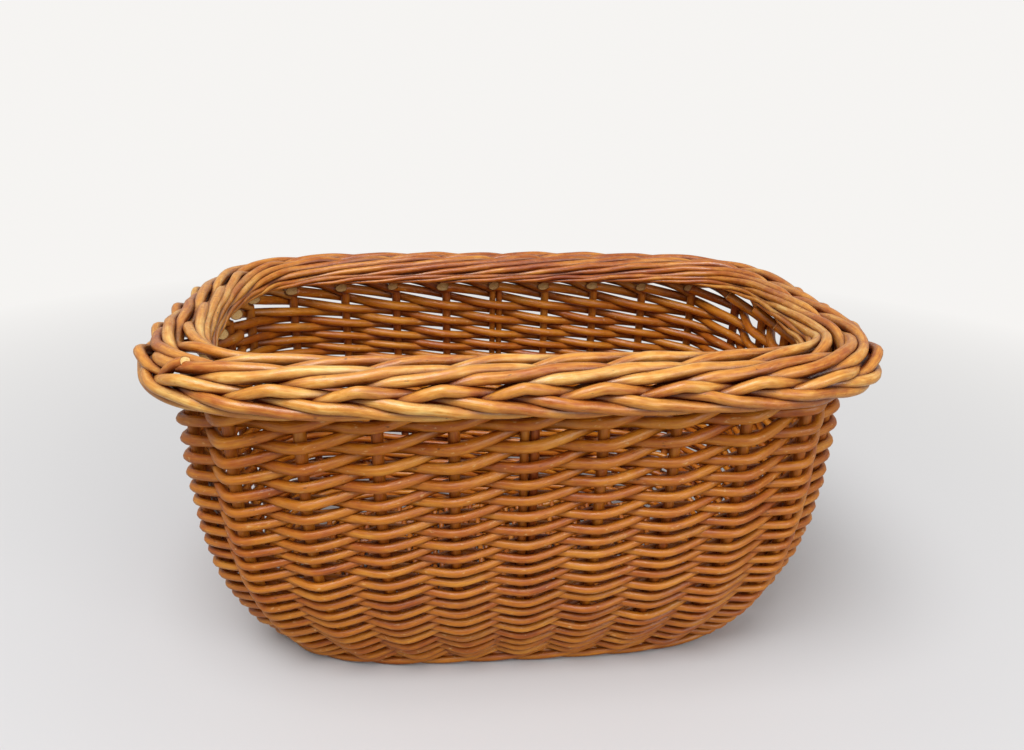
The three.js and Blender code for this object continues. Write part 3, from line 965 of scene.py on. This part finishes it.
def make_floor():
    mesh = bpy.data.meshes.new("floor")
    half = FLOOR_HALF_SIZE
    corners = [(-half, -half, 0), (half, -half, 0), (half, half, 0), (-half, half, 0)]
    mesh.from_pydata(corners, [], [(0, 1, 2, 3)])
    n = Nodes("floor")
    seen = n.add("ShaderNodeLightPath").outputs["Is Camera Ray"]
    n.link(n.mix(seen, colour(FLOOR_LIT), colour(FLOOR_SEEN)), n.shader.inputs["Base Color"])
    n.shader.inputs["Roughness"].default_value = FLOOR_ROUGHNESS
    place = n.add("ShaderNodeTexCoord").outputs["Object"]
    distance = n.add("ShaderNodeVectorMath", operation="LENGTH")
    n.link(place, distance.inputs[0])
    fade = n.between(distance.outputs["Value"], *FLOOR_FADE)
    glow = n.add("ShaderNodeEmission")
    glow.inputs["Color"].default_value = BACKDROP
    blend = n.add("ShaderNodeMixShader")
    n.link(n.maths("MULTIPLY", fade, seen), blend.inputs["Fac"])
    n.link(n.shader.outputs["BSDF"], blend.inputs[1])
    n.link(glow.outputs["Emission"], blend.inputs[2])
    n.link(blend.outputs["Shader"], n.tree.nodes["Material Output"].inputs["Surface"])
    mesh.materials.append(n.material)
    floor = bpy.data.objects.new("floor", mesh)
    bpy.context.scene.collection.objects.link(floor)


def lamp(name, place, power):
    data = bpy.data.lights.new(name, "AREA")
    data.shape = "DISK"
    data.size = LAMP_SIZE
    data.energy = power
    lamp_object = bpy.data.objects.new(name, data)
    lamp_object.location = place
    turn = (Vector(LAMP_AIM) - Vector(place)).to_track_quat("-Z", "Y")
    lamp_object.rotation_euler = turn.to_euler()
    bpy.context.scene.collection.objects.link(lamp_object)


def make_light():
    world = bpy.data.worlds.new("studio")
    bpy.context.scene.world = world
    world.use_nodes = True
    tree = world.node_tree
    sky = tree.nodes["Background"]
    sky.inputs["Color"].default_value = SKY_COLOUR
    sky.inputs["Strength"].default_value = SKY_LIGHT
    shown = tree.nodes.new("ShaderNodeBackground")
    shown.inputs["Color"].default_value = BACKDROP
    path = tree.nodes.new("ShaderNodeLightPath")
    blend = tree.nodes.new("ShaderNodeMixShader")
    tree.links.new(path.outputs["Is Camera Ray"], blend.inputs["Fac"])
    tree.links.new(sky.outputs["Background"], blend.inputs[1])
    tree.links.new(shown.outputs["Background"], blend.inputs[2])
    tree.links.new(blend.outputs["Shader"], tree.nodes["World Output"].inputs["Surface"])
    lamp("key", *KEY_LAMP)
    lamp("fill", *FILL_LAMP)


# Camera at the photograph's view

CAMERA_PLACE = (-49.66, -507.27, 360.02)  # millimetres
CAMERA_TARGET = (2.26, 0.0, 164.0)
CAMERA_ROLL = 0.021  # radians
CAMERA_LENS = 27.77
SENSOR_WIDTH = 36
CLIP_DISTANCES = (0.01, 50)


def make_camera():
    data = bpy.data.cameras.new("camera")
    data.lens = CAMERA_LENS
    data.sensor_width = SENSOR_WIDTH
    data.clip_start, data.clip_end = CLIP_DISTANCES
    camera = bpy.data.objects.new("camera", data)
    place = Vector(CAMERA_PLACE) / 1000
    target = Vector(CAMERA_TARGET) / 1000
    turn = (target - place).to_track_quat("-Z", "Y").to_matrix().to_4x4()
    roll = Matrix.Rotation(CAMERA_ROLL, 4, "Z")
    camera.matrix_world = Matrix.Translation(place) @ turn @ roll
    bpy.context.scene.collection.objects.link(camera)
    bpy.context.scene.camera = camera


make_camera()
make_light()
make_floor()
make_stakes()
make_weave()
make_wale()
make_base()
make_border()
make_inserted_butt()

bpy.context.scene.view_settings.view_transform = "Standard"
